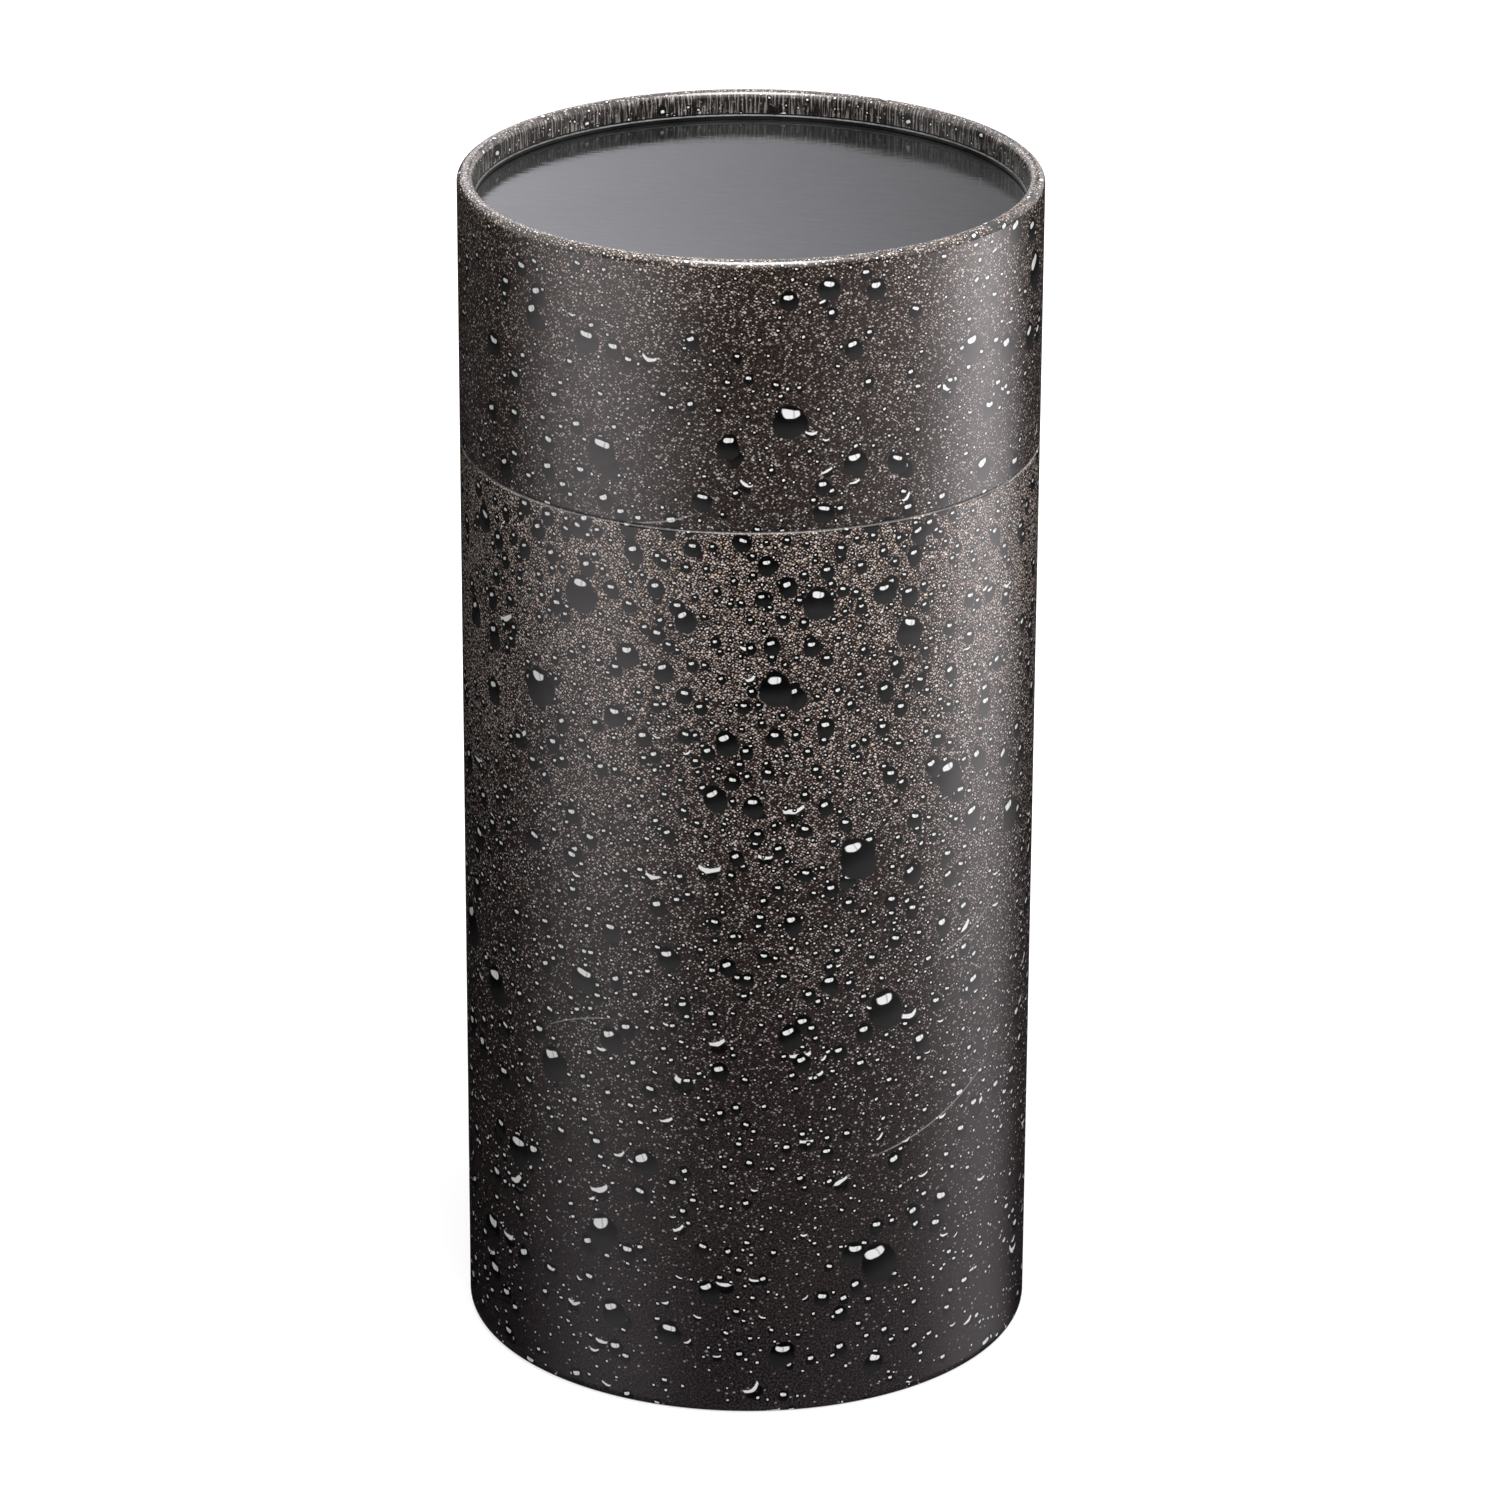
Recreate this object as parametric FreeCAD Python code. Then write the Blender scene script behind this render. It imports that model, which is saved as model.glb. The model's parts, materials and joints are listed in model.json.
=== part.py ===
import FreeCAD, Part
import math
import os

# A lidded gift tube of wound board, all sizes in millimetres.
# The origin is the centre of the foot, +Z runs up the tube's axis and -Y is the front.

# outside sizes
outer_diameter = 130.0
body_height = 213.0
lid_height = 61.0

# board and papers
board_wall = 3.0
neck_wall = 1.8
base_board = 2.5
lid_board = 2.0
wrap_paper = 0.30
cover_paper = 0.20
lining_paper = 0.20
facing_paper = 0.25
glue_line = 0.05

# fits and depths
sliding_clearance = 0.30
neck_headroom = 9.8
lid_recess = 6.6
base_recess = 5.0
shoulder_turn_in = 14.0
lid_mouth_turn_in = 14.0
neck_turn_in = 12.0
neck_cover_below_shoulder = 18.0
hem_height = 0.90
hem_gap = 0.30
lap_width = 8.0

# roundings of the folded edges, measured on the outside of the paper
rim_rounding = 1.70
foot_rounding = 1.20
shoulder_rounding = 0.80
lid_mouth_rounding = 0.45

# radii, from the outside inwards
outer_radius = outer_diameter / 2
board_outer = outer_radius - wrap_paper - glue_line
board_inner = board_outer - board_wall
fold_outer = board_inner - glue_line
fold_inner = fold_outer - wrap_paper
cover_outer = fold_inner - sliding_clearance
neck_outer = cover_outer - cover_paper - glue_line
neck_inner = neck_outer - neck_wall
liner_outer = neck_inner - glue_line
liner_inner = liner_outer - lining_paper
mouth_outer = liner_inner - glue_line
mouth_inner = mouth_outer - cover_paper

# heights, from the foot upwards
skin = wrap_paper + glue_line
cover_skin = cover_paper + glue_line
total_height = body_height + lid_height
base_board_low = base_recess + facing_paper + glue_line
base_board_high = base_board_low + base_board
floor_level = base_board_high + glue_line
lid_panel_level = total_height - lid_recess
lid_board_high = lid_panel_level - facing_paper - glue_line
lid_board_low = lid_board_high - lid_board
ceiling_high = lid_board_low - glue_line
ceiling_low = ceiling_high - lining_paper
neck_top = ceiling_low - neck_headroom
neck_board_top = neck_top - cover_skin
hem_low = lid_panel_level + hem_gap
hem_high = hem_low + hem_height

# a folded edge can be no rounder than half the width it folds over
rim_width = outer_radius - fold_inner
widest_rounding = 0.48 * rim_width
rim_radius = min(rim_rounding, widest_rounding)
foot_radius = min(foot_rounding, widest_rounding)
shoulder_radius = min(shoulder_rounding, widest_rounding)
lid_mouth_radius = min(lid_mouth_rounding, widest_rounding)
neck_rim_radius = 0.40 * (cover_outer - mouth_inner)
neck_board_radius = min(neck_rim_radius - cover_skin, 0.45 * neck_wall)
hem_radius = 0.45 * min(hem_height, 2 * wrap_paper)


def rounded_loop(corners):
    """Close a loop through (radius, height, rounding) corners in the XZ plane."""
    count = len(corners)
    entries = []
    for index in range(count):
        before = FreeCAD.Vector(corners[index - 1][0], 0, corners[index - 1][1])
        here = FreeCAD.Vector(corners[index][0], 0, corners[index][1])
        after_corner = corners[(index + 1) % count]
        after = FreeCAD.Vector(after_corner[0], 0, after_corner[1])
        rounding = corners[index][2]
        if rounding <= 0:
            entries.append((here, None, here))
            continue
        back = (before - here).normalize()
        ahead = (after - here).normalize()
        half_angle = back.getAngle(ahead) / 2
        inward = (back + ahead).normalize()
        reach = rounding / math.tan(half_angle)
        centre = here + inward * (rounding / math.sin(half_angle))
        entries.append((here + back * reach, centre - inward * rounding, here + ahead * reach))
    edges = []
    for index in range(count):
        start, middle, end = entries[index]
        if middle is not None:
            edges.append(Part.Arc(start, middle, end).toShape())
        next_start = entries[(index + 1) % count][0]
        if end.distanceToPoint(next_start) > 1e-6:
            edges.append(Part.makeLine(end, next_start))
    return Part.Wire(edges)


def turned(corners):
    """Turn a profile of (radius, height, rounding) corners once around the tube's axis."""
    face = Part.Face(rounded_loop(corners))
    return face.revolve(FreeCAD.Vector(0, 0, 0), FreeCAD.Vector(0, 0, 1), 360)


def sleeve(inner, outer, low, high):
    """A plain tube with square ends."""
    return turned([(inner, low, 0), (outer, low, 0), (outer, high, 0), (inner, high, 0)])


def board_tube(low, high, low_rounding, high_rounding):
    """A wound board tube whose ends lie inside the paper folded over them."""
    low_edge = low_rounding - skin
    high_edge = high_rounding - skin
    return turned(
        [
            (board_inner, low + skin, low_edge),
            (board_outer, low + skin, low_edge),
            (board_outer, high - skin, high_edge),
            (board_inner, high - skin, high_edge),
        ]
    )


def lap_strip(low, high):
    """The end of a printed sheet, lying on its own start down the back of the tube."""
    lap_angle = math.degrees(lap_width / outer_radius)
    corners = [
        (outer_radius - wrap_paper / 2, low, 0),
        (outer_radius + wrap_paper, low, 0),
        (outer_radius + wrap_paper, high, 0),
        (outer_radius - wrap_paper / 2, high, 0),
    ]
    face = Part.Face(rounded_loop(corners))
    face.rotate(FreeCAD.Vector(0, 0, 0), FreeCAD.Vector(0, 0, 1), 90 - lap_angle / 2)
    return face.revolve(FreeCAD.Vector(0, 0, 0), FreeCAD.Vector(0, 0, 1), lap_angle)


def disc(radius, low, thickness):
    """A flat round sheet on the tube's axis."""
    return Part.makeCylinder(radius, thickness, FreeCAD.Vector(0, 0, low))


def make_body_tube():
    """The long wound board tube that stands on the table."""
    return board_tube(0, body_height, foot_radius, shoulder_radius)


def make_body_wrap():
    """The printed sheet around the body, folded in under the foot and over the shoulder."""
    foot_fold = base_recess - glue_line
    shoulder_fold = body_height - shoulder_turn_in
    sheet = turned(
        [
            (fold_inner, foot_fold, 0),
            (fold_inner, 0, foot_radius),
            (outer_radius, 0, foot_radius),
            (outer_radius, body_height, shoulder_radius),
            (fold_inner, body_height, shoulder_radius),
            (fold_inner, shoulder_fold, 0),
            (fold_outer, shoulder_fold, 0),
            (fold_outer, body_height - wrap_paper, shoulder_radius - wrap_paper),
            (outer_radius - wrap_paper, body_height - wrap_paper, shoulder_radius - wrap_paper),
            (outer_radius - wrap_paper, wrap_paper, foot_radius - wrap_paper),
            (fold_outer, wrap_paper, foot_radius - wrap_paper),
            (fold_outer, foot_fold, 0),
        ]
    )
    lap = lap_strip(foot_radius, body_height - shoulder_radius)
    return sheet.fuse(lap).Solids[0]


def make_neck_tube():
    """The thinner board tube inside the body, standing on the base and carrying the lid."""
    return turned(
        [
            (neck_inner, floor_level, 0),
            (neck_outer, floor_level, 0),
            (neck_outer, neck_board_top, neck_board_radius),
            (neck_inner, neck_board_top, neck_board_radius),
        ]
    )


def make_neck_cover():
    """The plain paper on the neck, folded over its top edge and down the inside."""
    outside_low = body_height - neck_cover_below_shoulder
    inside_low = neck_top - neck_turn_in
    return turned(
        [
            (cover_outer, outside_low, 0),
            (cover_outer, neck_top, neck_rim_radius),
            (mouth_inner, neck_top, neck_rim_radius),
            (mouth_inner, inside_low, 0),
            (mouth_outer, inside_low, 0),
            (mouth_outer, neck_top - cover_paper, neck_rim_radius - cover_paper),
            (cover_outer - cover_paper, neck_top - cover_paper, neck_rim_radius - cover_paper),
            (cover_outer - cover_paper, outside_low, 0),
        ]
    )


def make_tube_liner():
    """The lining paper on the inside of the neck tube."""
    return sleeve(liner_inner, liner_outer, floor_level, neck_board_top - neck_rim_radius)


def make_base_disc():
    """The board disc that closes the foot, set up inside the body tube."""
    return disc(board_inner - glue_line, base_board_low, base_board)


def make_base_facing():
    """The paper on the underside of the base disc."""
    return disc(board_inner - glue_line, base_recess, facing_paper)


def make_floor_lining():
    """The paper on the inside floor, ringed by the tube liner."""
    return disc(liner_inner - glue_line, floor_level, lining_paper)


def make_lid_tube():
    """The short wound board tube of the lid."""
    return board_tube(body_height, total_height, lid_mouth_radius, rim_radius)


def make_lid_wrap():
    """The printed sheet around the lid, hemmed in the recess and folded in at the mouth."""
    mouth_fold = body_height + lid_mouth_turn_in
    hem_inner = fold_inner - wrap_paper
    sheet = turned(
        [
            (fold_inner, mouth_fold, 0),
            (fold_inner, body_height, lid_mouth_radius),
            (outer_radius, body_height, lid_mouth_radius),
            (outer_radius, total_height, rim_radius),
            (fold_inner, total_height, rim_radius),
            (fold_inner, hem_high, 0),
            (hem_inner, hem_high, hem_radius),
            (hem_inner, hem_low, hem_radius),
            (fold_outer, hem_low, 0),
            (fold_outer, total_height - wrap_paper, rim_radius - wrap_paper),
            (outer_radius - wrap_paper, total_height - wrap_paper, rim_radius - wrap_paper),
            (outer_radius - wrap_paper, body_height + wrap_paper, lid_mouth_radius - wrap_paper),
            (fold_outer, body_height + wrap_paper, lid_mouth_radius - wrap_paper),
            (fold_outer, mouth_fold, 0),
        ]
    )
    lap = lap_strip(body_height + lid_mouth_radius, total_height - rim_radius)
    return sheet.fuse(lap).Solids[0]


def make_lid_disc():
    """The board disc that closes the lid, set down below its rim."""
    return disc(board_inner - glue_line, lid_board_low, lid_board)


def make_lid_panel():
    """The glossy paper on the lid disc, seen from above."""
    return disc(board_inner - glue_line, lid_panel_level - facing_paper, facing_paper)


def make_lid_ceiling():
    """The lining paper on the underside of the lid disc."""
    return disc(board_inner - glue_line, ceiling_low, lining_paper)


def make_lid_liner():
    """The lining paper inside the lid, from its ceiling down to the folded edge of the mouth."""
    low = body_height + lid_mouth_turn_in + glue_line
    return sleeve(fold_outer - lining_paper, fold_outer, low, ceiling_low - glue_line)


parts = {
    "body_tube": make_body_tube(),
    "body_wrap": make_body_wrap(),
    "neck_tube": make_neck_tube(),
    "neck_cover": make_neck_cover(),
    "tube_liner": make_tube_liner(),
    "base_disc": make_base_disc(),
    "base_facing": make_base_facing(),
    "floor_lining": make_floor_lining(),
    "lid_tube": make_lid_tube(),
    "lid_wrap": make_lid_wrap(),
    "lid_disc": make_lid_disc(),
    "lid_panel": make_lid_panel(),
    "lid_ceiling": make_lid_ceiling(),
    "lid_liner": make_lid_liner(),
}

os.makedirs("parts", exist_ok=True)
for name, shape in parts.items():
    shape.exportStep("parts/" + name + ".step")
    box = shape.BoundBox
    print(name, shape.ShapeType, len(shape.Solids), shape.isValid(),
          "volume %.1f mm3" % shape.Volume, "z %.2f to %.2f" % (box.ZMin, box.ZMax))
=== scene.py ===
# %% [markdown]
# # A lidded gift tube of wound board
#
# The solids of the tube come ready packed, and this lesson gives them their looks: the printed
# sheets with their folds and laps, the glossy panel in the lid, plain board and lining papers,
# and a small studio. Everything is in metres, in the frame of the solids: +Z runs up the tube's
# axis and the camera looks from -Y.

# %% Load the solids
import json
import math

import bpy
import numpy as np
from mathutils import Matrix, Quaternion, Vector


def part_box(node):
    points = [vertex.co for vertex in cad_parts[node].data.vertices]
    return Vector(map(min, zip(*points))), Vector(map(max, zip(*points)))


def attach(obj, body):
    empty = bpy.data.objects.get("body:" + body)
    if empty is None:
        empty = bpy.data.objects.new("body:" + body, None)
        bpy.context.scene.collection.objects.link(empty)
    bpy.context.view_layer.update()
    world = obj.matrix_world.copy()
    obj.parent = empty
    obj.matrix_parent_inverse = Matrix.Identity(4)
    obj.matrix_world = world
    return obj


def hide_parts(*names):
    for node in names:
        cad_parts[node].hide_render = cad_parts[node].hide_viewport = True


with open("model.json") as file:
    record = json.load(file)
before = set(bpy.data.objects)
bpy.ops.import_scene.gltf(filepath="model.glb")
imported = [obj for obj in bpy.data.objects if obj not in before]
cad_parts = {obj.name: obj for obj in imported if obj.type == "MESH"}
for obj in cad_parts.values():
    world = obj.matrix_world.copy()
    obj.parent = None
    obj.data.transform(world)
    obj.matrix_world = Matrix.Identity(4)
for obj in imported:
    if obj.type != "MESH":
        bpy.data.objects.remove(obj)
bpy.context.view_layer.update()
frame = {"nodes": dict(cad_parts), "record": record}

print("solids:", sorted(frame["nodes"]))

# %% [markdown]
# ## The camera
#
# The photograph was taken from well back with a long lens, looking down at the tube. The distance,
# the tilt and the lens were worked out from the outline, the rim and the seam, as a pinhole camera
# whose middle is the middle of the picture. A very small roll sets the tube as upright as it
# stands there.

# %% Camera
MM = 0.001
IMAGE_SIDE = 1500
SENSOR_MM = 36.0
focal_pixels = 6840.0
camera_distance = 1562.2 * MM
looking_down = math.radians(22.1)
camera_roll = math.radians(0.241)
aim = Vector((0.32 * MM, 0.0, 136.1 * MM))


def placed(name, data):
    """A new object in the scene."""
    made = bpy.data.objects.new(name, data)
    bpy.context.scene.collection.objects.link(made)
    return made


lens = bpy.data.cameras.new("camera")
lens.sensor_width = SENSOR_MM
lens.lens = focal_pixels / IMAGE_SIDE * SENSOR_MM
lens.clip_start = 0.05
lens.clip_end = 30.0
camera = placed("camera", lens)
towards_camera = Vector((0.0, -math.cos(looking_down), math.sin(looking_down)))
camera.location = aim + towards_camera * camera_distance
camera.rotation_mode = "QUATERNION"
upright_view = (-towards_camera).to_track_quat("-Z", "Y")
camera.rotation_quaternion = upright_view @ Quaternion((0, 0, 1), camera_roll)
bpy.context.scene.camera = camera
print("lens %.1f mm, %.3f m from the tube" % (lens.lens, camera_distance))

# %% [markdown]
# ## Sizes that the pieces share
#
# The folded sheets are built again here with finer faces than the solids have, so their main sizes
# are read from the solids. The thickness of board, paper and glue is repeated from the part's
# source.

# %% Sizes
outer_radius = round(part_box("body_wrap")[1].x / MM, 1) * MM
shoulder_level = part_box("body_wrap")[1].z
rim_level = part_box("lid_wrap")[1].z
panel_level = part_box("lid_panel")[1].z
facing_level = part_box("base_facing")[0].z
board_wall = 3.0 * MM
paper = 0.30 * MM
glue_line = 0.05 * MM
board_inner = outer_radius - paper - glue_line - board_wall
fold_outer = board_inner - glue_line
fold_inner = fold_outer - paper
print("tube %.1f mm across, shoulder at %.1f, rim at %.1f mm"
      % (2 * outer_radius / MM, shoulder_level / MM, rim_level / MM))

# %% [markdown]
# ## Writing a material as an expression
#
# A material is a net of nodes, and a net drawn by hand is hard to read. This small class wraps one
# socket, so that sums and products of sockets are written as sums and products, and each operator
# adds the Math node that does it. Any other node comes from its `node` method: the kind, its
# settings, then what goes into its sockets.

# %% The expression class
class Ink:
    """One socket of a material, for use in Python expressions."""

    def __init__(self, socket):
        self.socket = socket
        self.tree = socket.id_data

    def node(self, kind, settings=None, inputs=None, output=0):
        """Add a node, set its settings, then fill or link its sockets."""
        made = self.tree.nodes.new(kind)
        for name, value in (settings or {}).items():
            setattr(made, name, value)
        for name, value in (inputs or {}).items():
            if isinstance(value, Ink):
                self.tree.links.new(value.socket, made.inputs[name])
            else:
                made.inputs[name].default_value = value
        return Ink(made.outputs[output])

    def out(self, name):
        """Another output of the node that this socket is on."""
        return Ink(self.socket.node.outputs[name])

    def maths(self, operation, first, second=0.0):
        """A Math node on two values."""
        return self.node("ShaderNodeMath", {"operation": operation}, {0: first, 1: second})

    def __add__(self, other):
        return self.maths("ADD", self, other)

    def __radd__(self, other):
        return self.maths("ADD", other, self)

    def __sub__(self, other):
        return self.maths("SUBTRACT", self, other)

    def __rsub__(self, other):
        return self.maths("SUBTRACT", other, self)

    def __mul__(self, other):
        return self.maths("MULTIPLY", self, other)

    def __rmul__(self, other):
        return self.maths("MULTIPLY", other, self)

    def __truediv__(self, other):
        return self.maths("DIVIDE", self, other)

    def __rtruediv__(self, other):
        return self.maths("DIVIDE", other, self)

    def __pow__(self, other):
        return self.maths("POWER", self, other)

    def __lt__(self, other):
        return self.maths("LESS_THAN", self, other)

    def __abs__(self):
        return self.maths("ABSOLUTE", self)


# %% [markdown]
# A few words are needed again and again: a soft step between two values, a mix of two colours,
# sums of vectors, and an empty material to start from. Colours and vectors get nodes of their own,
# because a Math node would turn them grey.

# %% Small helpers
def smooth(value, low, high):
    """0 where value is at low, 1 where it is at high, with soft ends. low may be the larger."""
    rising = low < high
    return value.node("ShaderNodeMapRange", {"interpolation_type": "SMOOTHSTEP"}, {
        "Value": value, "From Min": min(low, high), "From Max": max(low, high),
        "To Min": 0.0 if rising else 1.0, "To Max": 1.0 if rising else 0.0})


def tint(amount, first, second):
    """The first colour, turning into the second as amount goes from 0 to 1."""
    return amount.node("ShaderNodeMix", {"data_type": "RGBA"}, {0: amount, 6: first, 7: second}, 2)


def vector(operation, first, second=(0.0, 0.0, 0.0)):
    """A Vector Math node on two vectors."""
    maker = first if isinstance(first, Ink) else second
    return maker.node("ShaderNodeVectorMath", {"operation": operation}, {0: first, 1: second})


def scaled(arrow, amount):
    """A vector made longer or shorter by a value."""
    return arrow.node("ShaderNodeVectorMath", {"operation": "SCALE"}, {0: arrow, "Scale": amount})


def part_of(arrow, axis):
    """One coordinate of a vector."""
    return arrow.node("ShaderNodeSeparateXYZ", None, {0: arrow}, axis)


def new_finish(name, **constants):
    """An empty material with these constants on its shader, and where to start writing it."""
    finish = bpy.data.materials.new(name)
    finish.use_nodes = True
    shader = finish.node_tree.nodes["Principled BSDF"]
    for socket, value in constants.items():
        shader.inputs[socket.replace("_", " ")].default_value = value
    return finish, shader, Ink(shader.outputs[0])


def feed(shader, **links):
    """Link what varies over the surface to the shader's sockets."""
    for socket, ink in links.items():
        ink.tree.links.new(ink.socket, shader.inputs[socket.replace("_", " ")])


def grey(level, warm=0.0):
    """A grey of this brightness, a little redder and less blue when warm."""
    return (level * (1 + warm), level, level * (1 - warm), 1.0)


# %% [markdown]
# ## The printed drops
#
# The sheets carry a printed picture of water drops on a dark misted surface. A print of drops
# could be an image, but an image has one fixed sharpness. Here each scatter of drops is a net of
# cells with one drop in some of them: the cell's own random colour says whether it has a drop, how
# large it is and how far it leans.

# %% The cells of a scatter
cell_disorder = 0.7
shift_slope = 0.37


def scattered(place, cell, turn, shift, wobble):
    """Cells of one scatter: where a point lies from its cell's middle, and the cell's own lot."""
    spread = place.node("ShaderNodeMapping", None, {
        "Vector": place, "Location": (shift, shift * shift_slope, 0.0),
        "Rotation": (0.0, 0.0, turn), "Scale": (1 / cell, 1 / cell, 1.0)})
    spread = vector("ADD", spread, scaled(wobble, 1 / cell))
    cells = place.node("ShaderNodeTexVoronoi", {"voronoi_dimensions": "2D"},
                       {"Vector": spread, "Scale": 1.0, "Randomness": cell_disorder}, "Color")
    offset = vector("SUBTRACT", spread, cells.out("Position"))
    lot = place.node("ShaderNodeSeparateColor", None, {"Color": cells}, "Red")
    return offset, lot


def upright(offset, angle, size):
    """A point's place in a cell, turned by an angle and measured in drop sizes."""
    turned = offset.node("ShaderNodeVectorRotate", {"rotation_type": "Z_AXIS"},
                         {"Vector": offset, "Angle": angle})
    local = part_of(scaled(turned, 1.0 / size), "X")
    return local, local.out("Y")


def drawn_size(lot, sizes, cell):
    """The size that a cell's lot gives its drop, measured in cells."""
    least, most = sizes
    return lot * ((most - least) / cell) + least / cell


def distance(across, up):
    """How far a point lies from the middle."""
    return across.maths("SQRT", across * across + up * up)


def middle_height(place, offset, cell, turn):
    """The height of a cell's middle on the sheet, the same all over the cell."""
    return part_of(place, "Y") - upright(offset, -turn, 1.0 / cell)[1]


# %% [markdown]
# Around the cell's middle, the distance makes the dark body of the drop, which is a little taller
# than wide and tapers upwards. A small lens above the middle makes its glint, like the reflection
# of a bright window with one bar in it.

# %% One scatter of drops
usual_lean = 0.38
lean_turn = 0.75
drop_tall = 1.10
lean_stretch = 0.3
drop_taper = 0.12
glint_bow = 0.25
glint_power = 3.0
bar_place = 0.10
bar_light = 0.65


def drop_scatter(place, cell, turn, shift, sizes, share, wobble, glint, gain):
    """Body, inner shade and glint masks of one scatter, on a sheet unrolled in millimetres. share
    gives, for a height, how many cells hold a drop. glint is how high the glint sits, half its
    width and half its height, in drop sizes, and gain makes it larger or smaller."""
    glint_up, glint_wide, glint_tall = glint
    offset, lot = scattered(place, cell, turn, shift, wobble)
    has_drop = lot.out("Green") < share(middle_height(place, offset, cell, turn))
    lean = lot.out("Blue") - usual_lean
    across, up = upright(offset, lean * -lean_turn - turn, drawn_size(lot, sizes, cell))
    up = up / (drop_tall + lean * lean_stretch)
    across = across * (1.0 + up * drop_taper)
    body = smooth(distance(across, up), 1.0, 0.88) * has_drop
    shade = smooth(up, -0.60, 0.30)
    side = abs((across + 0.04) / (gain * glint_wide))
    rise = abs((up - glint_up - across * across * glint_bow) / (gain * glint_tall))
    pane = smooth(abs(across - bar_place), 0.03, 0.08) * (1 - bar_light) + bar_light
    spark = smooth(side ** glint_power + rise ** glint_power, 1.0, 0.5) * has_drop * pane
    return body, shade, spark


# %% [markdown]
# Some drops have run together, and only a curved stroke of light shows on them. A stroke is a thin
# part of a ring, kept on one side of its cell's middle. The finest drops are only beads: points of
# light, each with a brightness of its own.

# %% Strokes and beads
stroke_lean = 0.30
stroke_turn = 1.1
stroke_ring = 1.6
stroke_width = 0.25
stroke_thinning = 0.12


def stroke_scatter(place, cell, turn, shift, sizes, share, wobble):
    """Body and stroke masks of one scatter of run-together drops."""
    offset, lot = scattered(place, cell, turn, shift, wobble)
    has_stroke = lot.out("Green") < share(middle_height(place, offset, cell, turn))
    lean = lot.out("Blue") - stroke_lean
    across, up = upright(offset, lean * -stroke_turn - turn, drawn_size(lot, sizes, cell))
    body = smooth(distance(across, (up + 0.4) * 1.3), 1.0, 0.8) * has_stroke
    width = stroke_width - abs(across) * stroke_thinning
    bow = abs(distance(across, up - stroke_ring) - stroke_ring) - width
    stroke = smooth(bow, 0.04, -0.06) * smooth(abs(across), 0.95, 0.85) * smooth(up, 0.9, 0.8)
    return body, stroke * has_stroke


def bead_scatter(place, cell, turn, shift, sizes, share, wobble):
    """One scatter of beads, as bright as each happens to be."""
    offset, lot = scattered(place, cell, turn, shift, wobble)
    across, up = upright(offset, -turn, drawn_size(lot, sizes, cell))
    spot = smooth(distance(across, up * 1.3), 1.0, 0.45) * (lot.out("Green") < share)
    return spot * (lot.out("Blue") ** 1.3 * 0.85 + 0.15)


# %% [markdown]
# ## The unrolled sheet
#
# All layers of a print read the same few things: the place on the sheet in millimetres, how far up
# that is, how far inside the upper fold, and some noises. They could be handed on one by one, but
# one object that keeps them is easier to read. Two of the noises bend the drops: a fine one makes
# their edges ragged and a broad one makes the large drops bulge.

# %% What the layers share
class Unrolled:
    """One printed sheet laid flat, from its low to its high height in millimetres."""

    def __init__(self, start, span, seed):
        self.start, self.seed = start, seed
        self.low, self.top = span
        self.place = start.node("ShaderNodeUVMap", {"uv_map": "print"})
        self.height = part_of(self.place, "Y")
        self.climb = self.climbed(self.height)
        self.inside = smooth(self.height, self.top + 1.6, self.top + 3.4)
        self.wide = self.noise(0.030, 3.0, 0.6)
        ragged = self.wobbling(0.9, 0.30)
        bulging = vector("ADD", self.wobbling(0.20, 1.5), scaled(ragged, 0.6))
        self.wobbles = {"ragged": ragged, "bulging": bulging}

    def climbed(self, there):
        """0 at the low end of the sheet and 1 at the high end."""
        return self.start.node("ShaderNodeMapRange", None, {
            "Value": there, "From Min": self.low, "From Max": self.top})

    def noise(self, scale, detail, rough=0.5, output=0, shift=0.0):
        """Cloudy noise that is this sheet's own."""
        moved = vector("ADD", self.place, (self.seed * 3.7 + shift, self.seed * 1.9 - shift, 0.0))
        return self.start.node("ShaderNodeTexNoise", {"noise_dimensions": "2D"}, {
            "Vector": moved, "Scale": scale, "Detail": detail, "Roughness": rough}, output)

    def wobbling(self, scale, size):
        """Small random shifts of the place, up to half of size in millimetres each way."""
        colour = self.noise(scale, 1.0, 0.5, "Color")
        return scaled(vector("SUBTRACT", colour, (0.5, 0.5, 0.5)), size)

    def by_height(self, ends, on_fold, clear=0.0):
        """How many cells hold a drop, for a height. ends are the shares at the low and the high
        end, on_fold is how much of that is left on the upper fold, and clear is how far below
        the fold it falls off."""
        low, high = ends
        edge = self.top - clear
        return lambda there: ((self.climbed(there) * (high - low) + low)
                              * (smooth(there, edge + 2.0, edge - 1.0) * (1 - on_fold) + on_fold))


# %% [markdown]
# ## Ground and mist
#
# The paper is printed in a near-black that gets warmer towards the top, and this ground is flecked
# darker and lighter. It could be one flat ink, but then the foot, where little else is printed,
# would look like plastic.

# %% Ground
ground_dark = 0.32
ground_light = 1.65


def deeper(colour, amount):
    """A colour made darker or lighter all over."""
    return tuple(part * amount for part in colour[:3]) + (1.0,)


def ground_layer(sheet, ground_colours):
    """The ground, from its low to its high colour, flecked darker and lighter."""
    low, high = ground_colours
    fleck = smooth(sheet.noise(1.9, 2.0, 0.7, 0, 70.0) + sheet.wide * 0.12, 0.38, 0.76)
    dark = tint(sheet.climb, deeper(low, ground_dark), deeper(high, ground_dark))
    light = tint(sheet.climb, deeper(low, ground_light), deeper(high, ground_light))
    return tint(fleck, dark, light)
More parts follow.
